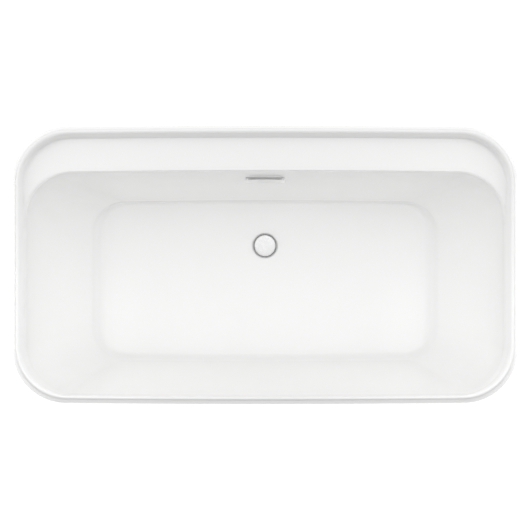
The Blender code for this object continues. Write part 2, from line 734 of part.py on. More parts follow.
def make_pipework(plastic, nut_mat, pipe_top):
    tee_front = OVERFLOW_PIPE_Y - TEE_REACH
    tee_back = OVERFLOW_PIPE_Y + TEE_REACH
    tee_top = WASTE_Z + TEE_REACH
    make_tee(plastic)
    make_pipe("waste_pipe", (SHOE_END_Y - PIPE_INSERT, WASTE_Z), (tee_front + PIPE_INSERT, WASTE_Z),
              plastic)
    slip_nut("waste_nut_front", along_y(SHOE_END_Y + GAP, WASTE_Z), nut_mat)
    flip = Matrix.Rotation(math.pi, 4, "X")
    slip_nut("waste_nut_back", along_y(tee_front - GAP, WASTE_Z) @ flip, nut_mat)
    make_pipe("outlet_stub", (tee_back - PIPE_INSERT, WASTE_Z), (OUTLET_END_Y, WASTE_Z), plastic)
    slip_nut("outlet_nut", along_y(tee_back + GAP, WASTE_Z), nut_mat)
    make_pipe("overflow_pipe", (OVERFLOW_PIPE_Y, tee_top - PIPE_INSERT), (OVERFLOW_PIPE_Y, pipe_top),
              plastic)
    slip_nut("overflow_nut", Matrix.Translation((0.0, OVERFLOW_PIPE_Y, tee_top + GAP)), nut_mat)


# Overflow

def plate_with_hole(name, size, hole, low, high, mat, wall_frame):
    """A plate on the wall with an oblong hole in its middle and two screw holes."""
    margin = 0.01
    plate = box(name, (-size[0] / 2, -size[1] / 2, low), (size[0] / 2, size[1] / 2, high), mat,
                wall_frame)
    middle = box(f"cut_{name}", (-hole[0] / 2, -hole[1] / 2, low - margin),
                 (hole[0] / 2, hole[1] / 2, high + margin), mat, wall_frame)
    cut(plate, middle)
    for side in (-1, 1):
        turn = wall_frame @ Matrix.Translation((side * OVERFLOW_SCREW_X, 0, 0))
        cut(plate, rod(f"cut_{name}_{side}", SCREW_HOLE_RADIUS, low - margin, high + margin, mat,
                       turn=turn))


def make_trim(mat, wall_frame):
    """The cover on the back wall. Water enters by the slot in its top."""
    width, height, depth = TRIM_SIZE
    wall = TRIM_WALL
    trim = box("overflow_trim", (-width / 2, -height / 2, GAP), (width / 2, height / 2, depth), mat)
    trim.matrix_world = wall_frame
    bevel = trim.modifiers.new("edges", "BEVEL")
    bevel.width = 0.0015
    bevel.segments = 2
    hollow = box("cut_trim_hollow", (wall - width / 2, wall - height / 2, -0.002),
                 (width / 2 - wall, height / 2 - wall, depth - wall), mat, wall_frame)
    cut(trim, hollow)
    half, reach = SLOT_SIZE[0] / 2, SLOT_SIZE[1] / 2
    slot = box("cut_trim_slot", (-half, height / 2 - 2 * wall, SLOT_MIDDLE - reach),
               (half, height / 2 + wall, SLOT_MIDDLE + reach), mat, wall_frame)
    cut(trim, slot)


def make_overflow_body(front, hole, mat, wall_frame):
    """The hollow box behind the wall, with the socket for the overflow pipe under it. Returns
    the height of the pipe's top end."""
    width, height, depth = OVERFLOW_BOX
    wall = TRIM_WALL
    body = box("overflow_body", (-width / 2, -height / 2, front - depth),
               (width / 2, height / 2, front), mat, wall_frame)
    at = (0.0, OVERFLOW_PIPE_Y, 0.0)
    neck = rod("union_neck", NECK_RADIUS, *NECK_Z, mat, BODY_STEPS)
    cut(body, place(neck, at), "UNION")
    hollow = box("cut_body_hollow", (-hole[0] / 2, -hole[1] / 2 - 0.002, front - depth + wall),
                 (hole[0] / 2, hole[1] / 2 + 0.002, front + wall), mat, wall_frame)
    cut(body, hollow)
    low = NECK_Z[0]
    throat = PIPE_BORE - 0.002
    bore = turned("cut_body_bore",
                  ((0, low - 0.01), (SOCKET_BORE, low - 0.01), (SOCKET_BORE, low + NECK_SOCKET),
                   (throat, low + NECK_SOCKET + 0.001), (throat, OVERFLOW_Z), (0, OVERFLOW_Z)), mat,
                  BODY_STEPS, closed=False)
    cut(body, place(bore, at))
    for side in (-1, 1):
        turn = wall_frame @ Matrix.Translation((side * OVERFLOW_SCREW_X, 0, 0))
        pocket = rod(f"cut_body_screw_{side}", SCREW_RADIUS + GAP,
                     front - OVERFLOW_SCREW_DEPTH - 0.001, front + wall, mat, turn=turn)
        cut(body, pocket)
    return low + NECK_SOCKET - 0.001


def make_overflow(chrome, steel, rubber, plastic, wall_frame):
    """Trim, retainer and screws in front of the wall; gasket and hollow body behind it."""
    make_trim(chrome, wall_frame)
    hole = (WALL_HOLE[0] + 0.002, WALL_HOLE[1] - 0.002)
    plate_with_hole("overflow_retainer", RETAINER_SIZE, hole, GAP, RETAINER_THICKNESS, steel, wall_frame)
    behind = -BASIN_THICKNESS - GAP
    gasket_low = behind - GASKET_THICKNESS
    plate_with_hole("overflow_gasket", OVERFLOW_BOX[:2], hole, gasket_low, behind, rubber, wall_frame)
    front = gasket_low - GAP
    pipe_top = make_overflow_body(front, hole, plastic, wall_frame)
    tip, head = front - OVERFLOW_SCREW_DEPTH, RETAINER_THICKNESS + GAP
    radius, height = OVERFLOW_SCREW_HEAD
    profile = ((0, tip), (SCREW_RADIUS, tip), (SCREW_RADIUS, head), (radius, head),
               (0.9 * radius, head + 0.8 * height), (0, head + height))
    for side, label in ((-1, "left"), (1, "right")):
        turn = wall_frame @ Matrix.Translation((side * OVERFLOW_SCREW_X, 0, 0))
        turned(f"overflow_screw_{label}", profile, steel, HOLE_STEPS, closed=False, turn=turn)
    return pipe_top


def main():
    clear_scene()
    acrylic = material("acrylic", (0.90, 0.90, 0.89), 0.16)
    shell_acrylic = material("shell_acrylic", (0.90, 0.90, 0.89), 0.18)
    board = material("board", (0.62, 0.47, 0.30), 0.75)
    steel = material("painted_steel", (0.20, 0.21, 0.22), 0.45, 0.3)
    zinc = material("zinc_steel", (0.62, 0.62, 0.60), 0.35, 0.9)
    chrome = material("chrome", (0.86, 0.87, 0.88), 0.10, 1.0)
    brass = material("brass", (0.72, 0.56, 0.28), 0.32, 0.9)
    rubber = material("rubber", (0.05, 0.05, 0.05), 0.85)
    plastic = material("pipe_plastic", (0.80, 0.80, 0.78), 0.40)
    nut_plastic = material("nut_plastic", (0.70, 0.71, 0.72), 0.45)

    wall_frame = overflow_matrix()
    make_basin(acrylic, wall_frame)
    make_outer_shell(shell_acrylic)
    make_board(board)
    make_rails(steel)
    make_feet(steel, zinc, rubber)
    make_brackets(steel, zinc)
    make_drain(chrome, brass, rubber)
    pipe_top = make_overflow(chrome, zinc, rubber, plastic, wall_frame)
    make_pipework(plastic, nut_plastic, pipe_top)


main()
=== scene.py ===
import json
import math

import bmesh
import bpy
from mathutils import Matrix, Vector


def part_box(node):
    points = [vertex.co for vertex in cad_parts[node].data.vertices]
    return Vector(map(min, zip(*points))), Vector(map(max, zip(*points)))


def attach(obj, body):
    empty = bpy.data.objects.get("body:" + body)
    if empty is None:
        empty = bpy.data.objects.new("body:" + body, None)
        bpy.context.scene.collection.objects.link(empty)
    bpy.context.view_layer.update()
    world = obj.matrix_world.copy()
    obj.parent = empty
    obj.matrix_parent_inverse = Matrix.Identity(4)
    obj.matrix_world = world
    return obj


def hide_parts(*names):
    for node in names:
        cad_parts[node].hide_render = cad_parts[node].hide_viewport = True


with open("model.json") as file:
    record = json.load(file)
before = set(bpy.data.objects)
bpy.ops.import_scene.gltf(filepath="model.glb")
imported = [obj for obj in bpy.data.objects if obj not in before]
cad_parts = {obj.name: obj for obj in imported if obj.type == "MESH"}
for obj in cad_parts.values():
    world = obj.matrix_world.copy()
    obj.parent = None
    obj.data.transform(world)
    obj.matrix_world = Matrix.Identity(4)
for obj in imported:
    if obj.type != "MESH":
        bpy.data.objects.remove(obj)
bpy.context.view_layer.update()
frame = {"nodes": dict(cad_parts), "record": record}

# The frame's own measures
BASIN_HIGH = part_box("basin")[1]
SHELL_LOW, SHELL_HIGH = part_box("outer_shell")
HALF_LENGTH = BASIN_HIGH.x
HALF_WIDTH = BASIN_HIGH.y
TOP_Z = BASIN_HIGH.z
MOUNTS = {mount["name"]: Vector(mount["pos_m"]) for mount in frame["record"]["mounts"]}
DECK_Z = MOUNTS["deck_face"].z

# Rim in section: inset from the outline and height
SIDE_BOW = 0.004
RIM_RADIUS = 0.178
RIM_RADIUS_FALL = 0.517
LIP_Z = TOP_Z - 0.036
RIDGE_INSET = 0.0150
RIDGE_INSET_FRONT = 0.0205
DECK_FOOT = 0.0420
ROLL_RADIUS = 0.010         # where the ridge turns down to its inner face
FACE_TILT = 68.0            # the inner face's slope
FILLET = 0.006              # between the rim's inner face and the deck
EDGE_RADIUS = 0.006         # between the deck and the basin
DECK_FRONT_Y = 0.312

# Basin's opening and the crease round its floor
OPENING_HALF = 0.7935
OPENING_FRONT = -0.4295
OPENING_RADIUS = 0.157
OPENING_Z = DECK_Z - EDGE_RADIUS
CREASE_HALF = 0.575
CREASE_BACK = 0.216
CREASE_FRONT = -0.324
CREASE_RADIUS = 0.110
CREASE_Z = 0.155
END_SLOPE = 0.40
SIDE_SLOPE = 0.80
FLOOR_Z = 0.122
BASIN_THICKNESS = 0.0055

# Drain
DRAIN = Vector((0.0, (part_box("drain_flange")[0].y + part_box("drain_flange")[1].y) / 2, 0.0))
FLANGE_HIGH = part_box("drain_flange")[1].z
FLANGE_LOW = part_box("drain_flange")[0].z
RECESS_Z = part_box("drain_seal")[0].z - 0.0003
RECESS_RADIUS = 0.0424
RECESS_LIP = 0.0012
HOLE_RADIUS = 0.0262
FLOOR_DRAIN_Z = RECESS_Z + 0.0020

# Outer shell
SHELL_THICKNESS = 0.0045
SHELL_TUCK = 0.008
SHELL_BASE_INSET = 0.052
SHELL_BASE_Z = 0.014
SHELL_FLANGE_INSET = 0.085

# Studio: glows of the surroundings, as (direction, the cosines to it where the glow starts and is
# full, strength), and soft lights, as (name, place, size, power)
WORLD_SIDES = (
    ((0.0, 1.0, 0.0), -0.3, 1.0, 0.64),
    ((0.0, 0.0, 1.0), 0.0, 1.0, 0.84),
    ((0.0, 0.0, 1.0), 0.75, 1.0, 0.11),
    ((0.0, -0.6, -0.8), 0.6, 1.0, 1.65),
    ((0.0, 0.6, -0.8), 0.6, 1.0, 0.60),
    ((0.6, 0.0, -0.8), 0.6, 1.0, 0.90),
    ((-0.6, 0.0, -0.8), 0.6, 1.0, 0.90),
)
FLOOR_GLOW = 0.95
LIGHTS = (
    ("left_fill", (-4.5, 0.0, 2.4), (2.5, 3.0), 45.0),
    ("right_fill", (4.5, 0.0, 2.4), (2.5, 3.0), 45.0),
)
AIM = Vector((0.0, 0.0, 0.4))
# Narrow lights straight down over the two ends of the well
WELL_XS = (-0.66, 0.66)
WELL_Y = -0.18
WELL_HEIGHT = 1.5
WELL_SIZE = (0.30, 0.25)
WELL_POWER = 0.19
WELL_SPREAD = 65.0

# Points round a shell's outline
ARC_STEPS = 26
LONG_STEPS = 48
END_STEPS = 24


# Materials

def shader_material(name, colour, roughness, metallic=0.0, coat=0.0, specular=0.5):
    mat = bpy.data.materials.new(name)
    mat.use_nodes = True
    shader = mat.node_tree.nodes["Principled BSDF"]
    shader.inputs["Base Color"].default_value = (*colour, 1.0)
    shader.inputs["Roughness"].default_value = roughness
    shader.inputs["Metallic"].default_value = metallic
    shader.inputs["Coat Weight"].default_value = coat
    shader.inputs["Coat Roughness"].default_value = 0.05
    shader.inputs["Specular IOR Level"].default_value = specular
    return mat, mat.node_tree, shader


def object_noise(tree, scale, detail=4.0, stretch=(1.0, 1.0, 1.0)):
    nodes, links = tree.nodes, tree.links
    coordinates = nodes.new("ShaderNodeTexCoord")
    mapping = nodes.new("ShaderNodeMapping")
    mapping.inputs["Scale"].default_value = stretch
    noise = nodes.new("ShaderNodeTexNoise")
    noise.inputs["Scale"].default_value = scale
    noise.inputs["Detail"].default_value = detail
    links.new(coordinates.outputs["Object"], mapping.inputs["Vector"])
    links.new(mapping.outputs["Vector"], noise.inputs["Vector"])
    return noise.outputs["Fac"]


def spread(tree, factor, low, high):
    node = tree.nodes.new("ShaderNodeMapRange")
    node.inputs["From Min"].default_value = 0.3
    node.inputs["From Max"].default_value = 0.7
    node.inputs["To Min"].default_value = low
    node.inputs["To Max"].default_value = high
    tree.links.new(factor, node.inputs["Value"])
    return node.outputs["Result"]


def vary_colour(tree, shader, factor, first, second):
    ramp = tree.nodes.new("ShaderNodeValToRGB")
    ramp.color_ramp.elements[0].position = 0.35
    ramp.color_ramp.elements[0].color = (*first, 1.0)
    ramp.color_ramp.elements[1].position = 0.65
    ramp.color_ramp.elements[1].color = (*second, 1.0)
    tree.links.new(factor, ramp.inputs["Fac"])
    tree.links.new(ramp.outputs["Color"], shader.inputs["Base Color"])


def bump(tree, shader, height, strength, distance):
    node = tree.nodes.new("ShaderNodeBump")
    node.inputs["Strength"].default_value = strength
    node.inputs["Distance"].default_value = distance
    tree.links.new(height, node.inputs["Height"])
    tree.links.new(node.outputs["Normal"], shader.inputs["Normal"])


def acrylic_material():
    """Cast white acrylic: glossy, with a faint orange peel and faint polishing haze."""
    mat, tree, shader = shader_material("gloss_acrylic", (0.955, 0.955, 0.95), 0.14, coat=0.35)
    vary_colour(tree, shader, object_noise(tree, 3.0), (0.952, 0.952, 0.947), (0.958, 0.958, 0.954))
    tree.links.new(spread(tree, object_noise(tree, 14.0, 6.0), 0.11, 0.19), shader.inputs["Roughness"])
    bump(tree, shader, object_noise(tree, 95.0, 2.0), 0.05, 0.0006)
    return mat


def fibre_material():
    """Chopped glass fibre in resin, as on the hidden side of a sprayed acrylic shell."""
    mat, tree, shader = shader_material("glass_fibre_resin", (0.78, 0.76, 0.70), 0.55)
    strands = object_noise(tree, 60.0, 8.0, (1.0, 6.0, 1.0))
    vary_colour(tree, shader, strands, (0.70, 0.68, 0.61), (0.82, 0.80, 0.75))
    bump(tree, shader, strands, 0.6, 0.002)
    return mat


def steel_material():
    mat, tree, shader = shader_material("painted_steel", (0.16, 0.17, 0.18), 0.45, metallic=0.1)
    vary_colour(tree, shader, object_noise(tree, 25.0), (0.14, 0.15, 0.16), (0.19, 0.20, 0.21))
    tree.links.new(spread(tree, object_noise(tree, 90.0), 0.36, 0.55), shader.inputs["Roughness"])
    bump(tree, shader, object_noise(tree, 400.0), 0.25, 0.0004)
    return mat


def zinc_material():
    mat, tree, shader = shader_material("zinc_plate", (0.66, 0.66, 0.63), 0.32, metallic=1.0)
    vary_colour(tree, shader, object_noise(tree, 60.0), (0.58, 0.59, 0.58), (0.72, 0.71, 0.66))
    tree.links.new(spread(tree, object_noise(tree, 140.0), 0.24, 0.42), shader.inputs["Roughness"])
    bump(tree, shader, object_noise(tree, 500.0), 0.15, 0.0003)
    return mat


def plated_material(name, colour, roughness):
    """Polished or brushed plating on brass, by its colour and roughness."""
    mat, tree, shader = shader_material(name, colour, roughness, metallic=1.0)
    tree.links.new(spread(tree, object_noise(tree, 120.0), 0.8 * roughness, 1.2 * roughness),
                   shader.inputs["Roughness"])
    bump(tree, shader, object_noise(tree, 260.0, 2.0), 0.03, 0.0002)
    return mat


def brass_material():
    mat, tree, shader = shader_material("cast_brass", (0.72, 0.55, 0.27), 0.34, metallic=1.0)
    vary_colour(tree, shader, object_noise(tree, 45.0, 6.0), (0.62, 0.46, 0.22), (0.78, 0.61, 0.31))
    tree.links.new(spread(tree, object_noise(tree, 80.0), 0.26, 0.48), shader.inputs["Roughness"])
    bump(tree, shader, object_noise(tree, 350.0), 0.3, 0.0004)
    return mat


def rubber_material():
    mat, tree, shader = shader_material("black_rubber", (0.030, 0.030, 0.031), 0.80)
    vary_colour(tree, shader, object_noise(tree, 70.0), (0.024, 0.024, 0.025), (0.042, 0.041, 0.040))
    bump(tree, shader, object_noise(tree, 600.0), 0.35, 0.0004)
    return mat


def plastic_material(name, first, second):
    mat, tree, shader = shader_material(name, first, 0.38)
    vary_colour(tree, shader, object_noise(tree, 20.0), first, second)
    tree.links.new(spread(tree, object_noise(tree, 200.0), 0.32, 0.46), shader.inputs["Roughness"])
    bump(tree, shader, object_noise(tree, 300.0), 0.12, 0.0003)
    return mat


def board_material():
    """Plywood sealed in resin: long grain with darker bands."""
    mat, tree, shader = shader_material("sealed_board", (0.60, 0.45, 0.28), 0.55)
    grain = object_noise(tree, 9.0, 8.0, (1.0, 14.0, 14.0))
    vary_colour(tree, shader, grain, (0.50, 0.36, 0.21), (0.68, 0.53, 0.35))
    bump(tree, shader, grain, 0.3, 0.0008)
    return mat


ACRYLIC = acrylic_material()
FIBRE = fibre_material()
STEEL = steel_material()
ZINC = zinc_material()
CHROME = plated_material("polished_chrome", (0.84, 0.845, 0.85), 0.10)
SATIN_CHROME = plated_material("satin_chrome", (0.83, 0.83, 0.83), 0.28)
BRUSHED_CHROME = plated_material("brushed_chrome", (0.90, 0.90, 0.90), 0.36)
# The drain flange's plating is given a dark grey: painted shade that stands in for the shadowed gap round the
# stopper's cap.
CHROME_WITH_PAINTED_SHADE = plated_material("chrome_with_painted_shade", (0.56, 0.56, 0.56), 0.35)
BRASS = brass_material()
RUBBER = rubber_material()
PIPE_PLASTIC = plastic_material("pipe_plastic", (0.78, 0.78, 0.76), (0.83, 0.83, 0.81))
NUT_PLASTIC = plastic_material("nut_plastic", (0.62, 0.63, 0.65), (0.70, 0.71, 0.72))
BOARD = board_material()

# The finished material of each slot, the slot of each CAD node and the body it belongs to
SLOT_MATERIALS = {
    "basin_acrylic": ACRYLIC, "shell_acrylic": ACRYLIC, "board": BOARD, "frame_steel": STEEL,
    "zinc_steel": ZINC, "pad_rubber": RUBBER, "seal_rubber": RUBBER, "chrome": CHROME,
    "brass": BRASS, "pipe_plastic": PIPE_PLASTIC, "nut_plastic": NUT_PLASTIC,
}
SLOTS = {part["node"]: part["material_slot"] for part in frame["record"]["subparts"]}
BODIES = {node: body for body, nodes in frame["record"]["behaviour"]["bodies"].items() for node in nodes}


# Mesh helpers

def link_object(name, mesh):
    obj = bpy.data.objects.new(name, mesh)
    bpy.context.scene.collection.objects.link(obj)
    return obj


def mesh_object(name, bm):
    mesh = bpy.data.meshes.new(name)
    bm.to_mesh(mesh)
    bm.free()
    return link_object(name, mesh)


def smooth(obj, sharp, mat):
    """Smooth shading up to the sharp angle in degrees, in one material."""
    obj.data.shade_smooth()
    obj.data.set_sharp_from_angle(angle=math.radians(sharp))
    obj.data.materials.append(mat)


def new_piece(name, bm, mat, body, slot_name, *replaced, sharp=40):
    """Makes the object, and says what it rides on and the CAD nodes it stands for; the slot name is not used.
    """
    bmesh.ops.recalc_face_normals(bm, faces=bm.faces)
    if bm.calc_volume(signed=True) < 0:
        bmesh.ops.reverse_faces(bm, faces=bm.faces)
    obj = mesh_object(name, bm)
    smooth(obj, sharp, mat)
    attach(obj, body)
    if replaced:
        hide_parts(*replaced)
    return obj


def bridge(bm, rings, closed=False):
    loops = [[bm.verts.new(point) for point in ring] for ring in rings]
    pairs = list(zip(loops, loops[1:]))
    if closed:
        pairs.append((loops[-1], loops[0]))
    for lower, upper in pairs:
        for i in range(len(lower)):
            j = (i + 1) % len(lower)
            bm.faces.new((lower[i], lower[j], upper[j], upper[i]))
    return loops


def bezier(p0, p1, p2, p3, steps):
    """Points after p0 up to p3."""
    points = []
    for step in range(1, steps + 1):
        t = step / steps
        s = 1 - t
        points.append(tuple(s ** 3 * a + 3 * s * s * t * b + 3 * s * t * t * c + t ** 3 * d
                            for a, b, c, d in zip(p0, p1, p2, p3)))
    return points


def lerp(a, b, t):
    return a + (b - a) * t


# Basin. A level is (half length, back, front, radius, end z, back z, front z).

def outline(half, back, front, radius, end_z, back_z=None, front_z=None):
    """A rounded rectangle with bowed long sides, whose height may differ from side to side."""
    back_z = end_z if back_z is None else back_z
    front_z = end_z if front_z is None else front_z
    straight = half - radius
    back_centre = back - SIDE_BOW - radius
    front_centre = front + SIDE_BOW + radius
    points = []

    def corner(x, y, start, long_z):
        for step in range(ARC_STEPS + 1):
            angle = math.radians(start + 90 * step / ARC_STEPS)
            z = lerp(end_z, long_z, math.sin(angle) ** 2)
            points.append(Vector((x + radius * math.cos(angle), y + radius * math.sin(angle), z)))

    def long_side(middle, side, z):
        for step in range(1, LONG_STEPS):
            part = 1 - 2 * step / LONG_STEPS
            points.append(Vector((side * straight * part, middle - side * SIDE_BOW * part ** 2, z)))

    def end(side):
        for step in range(1, END_STEPS):
            part = step / END_STEPS
            part = part if side < 0 else 1 - part
            points.append(Vector((side * half, lerp(back_centre, front_centre, part), end_z)))

    corner(straight, back_centre, 0, back_z)
    long_side(back, 1, back_z)
    corner(-straight, back_centre, 90, back_z)
    end(-1)
    corner(-straight, front_centre, 180, front_z)
    long_side(front, -1, front_z)
    corner(straight, front_centre, 270, front_z)
    end(1)
    return points


def rim_levels():
    """From the lip up the outer face, over the ridge and down to the basin's edge."""
    face_steps, round_steps, roll_steps, fillet_steps, deck_steps, edge_steps = 10, 12, 16, 6, 8, 7
    face_z = TOP_Z - LIP_Z - 0.003
    knee = (0.45, 0.012)        # share of the ridge's inset and drop, where the top's rounding starts
    outer = [(0.0020, LIP_Z - TOP_Z), (0.0006, LIP_Z - TOP_Z + 0.0006), (0.0, -face_z)]
    face = [(knee[0] * step / face_steps, lerp(-face_z, -knee[1], step / face_steps))
            for step in range(1, face_steps + 1)]
    face += bezier((knee[0], -knee[1]), (0.66, -0.0015), (0.84, 0.0), (1.0, 0.0), round_steps)

    depth = TOP_Z - DECK_Z
    tilt = math.radians(FACE_TILT)
    turn = 1 - math.cos(tilt)
    rounds = ROLL_RADIUS + FILLET
    run = rounds * math.sin(tilt) + (depth - rounds * turn) / math.tan(tilt)
    back = []
    for step in range(1, roll_steps + 1):
        angle = tilt * step / roll_steps
        back.append((DECK_FOOT - run + ROLL_RADIUS * math.sin(angle),
                     TOP_Z - ROLL_RADIUS * (1 - math.cos(angle))))
    for step in range(fillet_steps + 1):
        angle = tilt * (1 - step / fillet_steps)
        back.append((DECK_FOOT - FILLET * math.sin(angle), DECK_Z + FILLET * (1 - math.cos(angle))))
    edge_inset = HALF_WIDTH - DECK_FRONT_Y
    for step in range(1, deck_steps + 1):
        back.append((lerp(DECK_FOOT, edge_inset - EDGE_RADIUS, step / deck_steps), DECK_Z))
    for step in range(1, edge_steps + 1):
        angle = math.radians(90 * step / edge_steps)
        back.append((edge_inset - EDGE_RADIUS + EDGE_RADIUS * math.sin(angle),
                     DECK_Z - EDGE_RADIUS + EDGE_RADIUS * math.cos(angle)))

    steps = len(back)
    end_wall = END_SLOPE * (OPENING_HALF - CREASE_HALF) / (OPENING_Z - CREASE_Z)
    end_inset = HALF_LENGTH - OPENING_HALF
    end = bezier((RIDGE_INSET, TOP_Z), (RIDGE_INSET + 0.013, TOP_Z),
                 (end_inset - 0.020 * end_wall, OPENING_Z + 0.020),
                 (end_inset, OPENING_Z), steps)
    side_wall = SIDE_SLOPE * (CREASE_FRONT - OPENING_FRONT) / (OPENING_Z - CREASE_Z)
    front_inset = HALF_WIDTH + OPENING_FRONT
    front = bezier((RIDGE_INSET_FRONT, TOP_Z), (RIDGE_INSET_FRONT + 0.006, TOP_Z),
                   (front_inset - 0.026 * side_wall, OPENING_Z + 0.026),
                   (front_inset, OPENING_Z), steps)

    levels = []
    insets = [(inset, inset, drop) for inset, drop in outer]
    insets += [(RIDGE_INSET * share, RIDGE_INSET_FRONT * share, drop) for share, drop in face]
    for inset, front_side, drop in insets:
        levels.append((HALF_LENGTH - inset, HALF_WIDTH - inset, front_side - HALF_WIDTH,
                       RIM_RADIUS - RIM_RADIUS_FALL * inset, TOP_Z + drop, TOP_Z + drop, TOP_Z + drop))
    foot_radius = RIM_RADIUS - RIM_RADIUS_FALL * DECK_FOOT
    for index in range(steps):
        inset = min(back[index][0], DECK_FOOT)
        deck_part = max(0.0, (back[index][0] - DECK_FOOT) / (edge_inset - DECK_FOOT))
        radius = lerp(RIM_RADIUS - RIM_RADIUS_FALL * inset, OPENING_RADIUS, deck_part)
        levels.append((HALF_LENGTH - end[index][0], HALF_WIDTH - back[index][0],
                       front[index][0] - HALF_WIDTH, radius, end[index][1], back[index][1],
                       front[index][1]))
    return levels


def wall_levels(steps=40):
    """From the basin's edge down to the crease. The ends flatten towards the floor."""
    end_lead, back_lead, front_lead, end_rise = 0.016, 0.004, 0.003, 0.008
    levels = []
    for step in range(1, steps + 1):
        part = step / steps

        def blend(start, end, slope):
            return lerp(start, end, slope * part + (1 - slope) * part ** 2)

        z = lerp(OPENING_Z, CREASE_Z, part)
        levels.append((blend(OPENING_HALF, CREASE_HALF + end_lead, END_SLOPE),
                       blend(DECK_FRONT_Y, CREASE_BACK + back_lead, SIDE_SLOPE),
                       blend(OPENING_FRONT, CREASE_FRONT - front_lead, SIDE_SLOPE),
                       lerp(OPENING_RADIUS, CREASE_RADIUS, part), z + end_rise * part, z, z))
    return levels


def floor_levels():
    """The short steep step under the crease, then the fillet onto the floor."""
    steps = 18
    top = wall_levels()[-1]
    rise = top[4] - FLOOR_Z
    end = bezier((0.0, top[4]), (0.016, top[4] - 0.55 * rise), (0.020, FLOOR_Z), (0.052, FLOOR_Z), steps)
    side_rise = top[5] - FLOOR_Z
    back = bezier((0.0, top[5]), (0.004, top[5] - 0.75 * side_rise), (0.005, FLOOR_Z),
                  (0.014, FLOOR_Z), steps)
    front = bezier((0.0, top[6]), (0.011, top[6] - 0.70 * side_rise), (0.014, FLOOR_Z),
                   (0.028, FLOOR_Z), steps)
    levels = []
    for (end_inset, end_z), (back_inset, back_z), (front_inset, front_z) in zip(end, back, front):
        levels.append((top[0] - end_inset, top[1] - back_inset, top[2] + front_inset,
                       top[3] - 0.75 * end_inset, end_z, back_z, front_z))
    return levels


def drain_rings(border):
    """From the floor's border in to the drain's recess and hole."""
    angles = [math.atan2(point.y - DRAIN.y, point.x - DRAIN.x) for point in border]

    def circle(radius, z):
        return [Vector((DRAIN.x + radius * math.cos(a), DRAIN.y + radius * math.sin(a), z)) for a in angles]

    rim = circle(RECESS_RADIUS + RECESS_LIP, FLOOR_DRAIN_Z)
    rings = []
    steps, lip_steps = 14, 6
    for step in range(1, steps + 1):
        part = (step / steps) ** 0.8
        rings.append([a.lerp(b, part) for a, b in zip(border, rim)])
    for step in range(1, lip_steps + 1):
        angle = math.radians(90 * step / lip_steps)
        rings.append(circle(RECESS_RADIUS + RECESS_LIP * (1 - math.sin(angle)),
                            FLOOR_DRAIN_Z - RECESS_LIP * (1 - math.cos(angle))))
    rings.append(circle(RECESS_RADIUS, RECESS_Z))
    rings.append(circle(HOLE_RADIUS + 0.001, RECESS_Z))
    rings.append(circle(HOLE_RADIUS, RECESS_Z - 0.0008))
    return rings


def thicken(obj, thickness, hidden_mat):
    """Gives a skin its thickness on the side away from its faces, in the material of that side."""
    obj.data.materials.append(hidden_mat)
    solidify = obj.modifiers.new("thickness", "SOLIDIFY")
    solidify.thickness = thickness
    solidify.offset = -1.0
    solidify.material_offset = 1
    solidify.material_offset_rim = 0


def skin_piece(name, rings, thickness, replaced):
    """A shell of the tub, from the rings of its outer face."""
    bm = bmesh.new()
    bridge(bm, rings)
    obj = mesh_object(name, bm)
    smooth(obj, 50, ACRYLIC)
    thicken(obj, thickness, FIBRE)
    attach(obj, "tub")
    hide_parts(replaced)
    return obj


def make_basin():
    rings = [outline(*level) for level in rim_levels() + wall_levels() + floor_levels()]
    rings += drain_rings(rings[-1])
    return skin_piece("basin_skin", rings, BASIN_THICKNESS, "basin")


def make_outer_skin():
    """The double wall: a tucked edge behind the lip, a gently curved side and a turned-in foot."""
    def level(inset, z):
        return outline(HALF_LENGTH - inset, HALF_WIDTH - inset, inset - HALF_WIDTH,
                       RIM_RADIUS - RIM_RADIUS_FALL * inset, z)

    bottom = SHELL_LOW.z
    ledge = LIP_Z - 0.0006
    top_inset, top_round, foot_round, bow = 0.0028, 0.0015, 0.008, 1.3
    turn_steps, side_steps, top_steps = 8, 40, 4
    rings = [level(SHELL_FLANGE_INSET, bottom), level(SHELL_BASE_INSET + 0.012, bottom)]
    for step in range(turn_steps + 1):
        angle = math.radians(90 * step / turn_steps)
        rings.append(level(SHELL_BASE_INSET + foot_round * (1 - math.sin(angle)),
                           bottom + foot_round * (1 - math.cos(angle))))
    for step in range(side_steps - 1, -1, -1):
        part = step / side_steps
        rings.append(level(lerp(top_inset, SHELL_BASE_INSET, part ** bow),
                           lerp(ledge - top_round, SHELL_BASE_Z, part)))
    for step in range(1, top_steps + 1):
        angle = math.radians(90 * step / top_steps)
        rings.append(level(top_inset + top_round * (1 - math.cos(angle)),
                           ledge - top_round * (1 - math.sin(angle))))
    rings.append(level(SHELL_TUCK, ledge))
    rings.append(level(SHELL_TUCK, SHELL_HIGH.z))
    return skin_piece("outer_skin", rings, SHELL_THICKNESS, "outer_shell")


# Turned and swept pieces

def turned(name, profile, mat, body, slot_name, *replaced, centre=(0, 0, 0), axis="Z", steps=64,
           closed=False, sharp=30):
    """Spins (radius, height) points about an axis through centre."""
    bm = bmesh.new()
    verts = [bm.verts.new((radius, 0.0, height)) for radius, height in profile]
    edges = [bm.edges.new(pair) for pair in zip(verts, verts[1:])]
    if closed:
        edges.append(bm.edges.new((verts[-1], verts[0])))
    bmesh.ops.spin(bm, geom=verts + edges, axis=(0, 0, 1), cent=(0, 0, 0), angle=2 * math.pi, steps=steps)
    bmesh.ops.remove_doubles(bm, verts=bm.verts, dist=1e-6)
    turn = Matrix.Rotation(math.radians(-90), 4, "X") if axis == "Y" else Matrix.Identity(4)
    bm.transform(Matrix.Translation(centre) @ turn)
    return new_piece(name, bm, mat, body, slot_name, *replaced, sharp=sharp)


